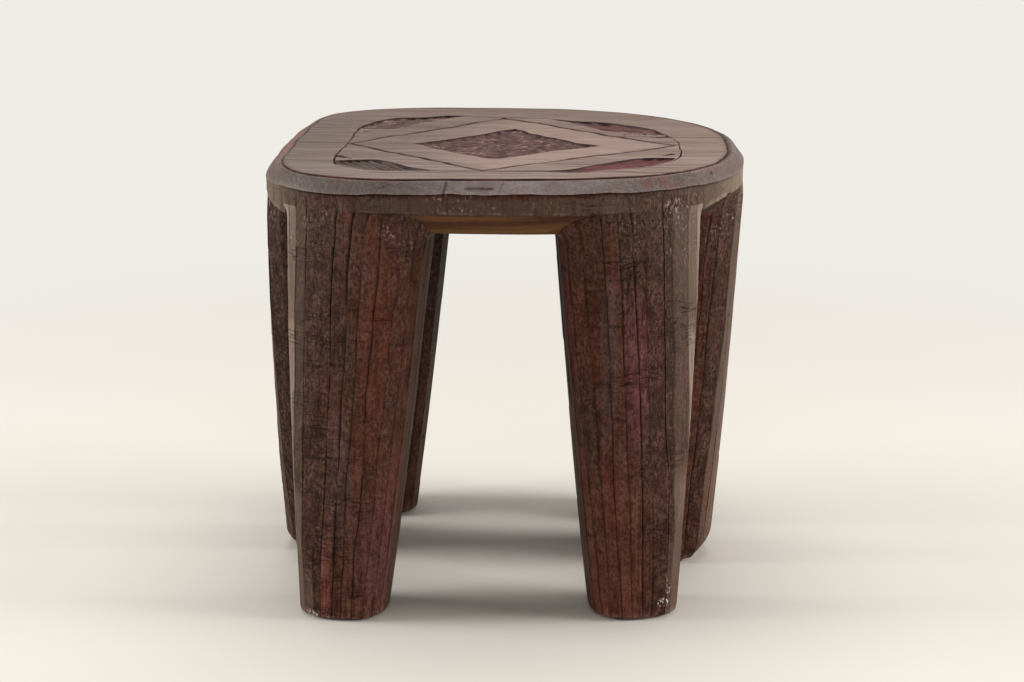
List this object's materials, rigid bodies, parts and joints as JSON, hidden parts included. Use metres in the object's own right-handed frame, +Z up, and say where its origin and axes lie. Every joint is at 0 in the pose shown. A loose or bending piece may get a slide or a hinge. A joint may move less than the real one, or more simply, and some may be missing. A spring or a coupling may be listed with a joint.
{
  "type": "carved wooden stool",
  "caption": "Low carved wooden stool with a squarish round seat, incised diamond and ring on top, and stout tapered adzed legs.",
  "frame": {"origin": "on the floor, under the middle of the seat", "axes": "+X to the right as seen from the front, -Y towards the front, +Z up. Metres."},
  "size_m": [0.318, 0.308, 0.291],
  "materials": {
    "seat_wood": "Worn brown-grey hardwood with level grain, a faint waxy sheen, and darker carved lines",
    "leg_wood": "Dark maroon and brown stained wood in narrow adzed facets with dark lines between them, patchy grey bloom"
  },
  "bodies": {
    "root": {"seat": "seat_wood", "front_left_leg": "leg_wood", "front_right_leg": "leg_wood", "left_leg": "leg_wood", "right_leg": "leg_wood", "back_left_leg": "leg_wood", "back_right_leg": "leg_wood"}
  },
  "joints": []
}
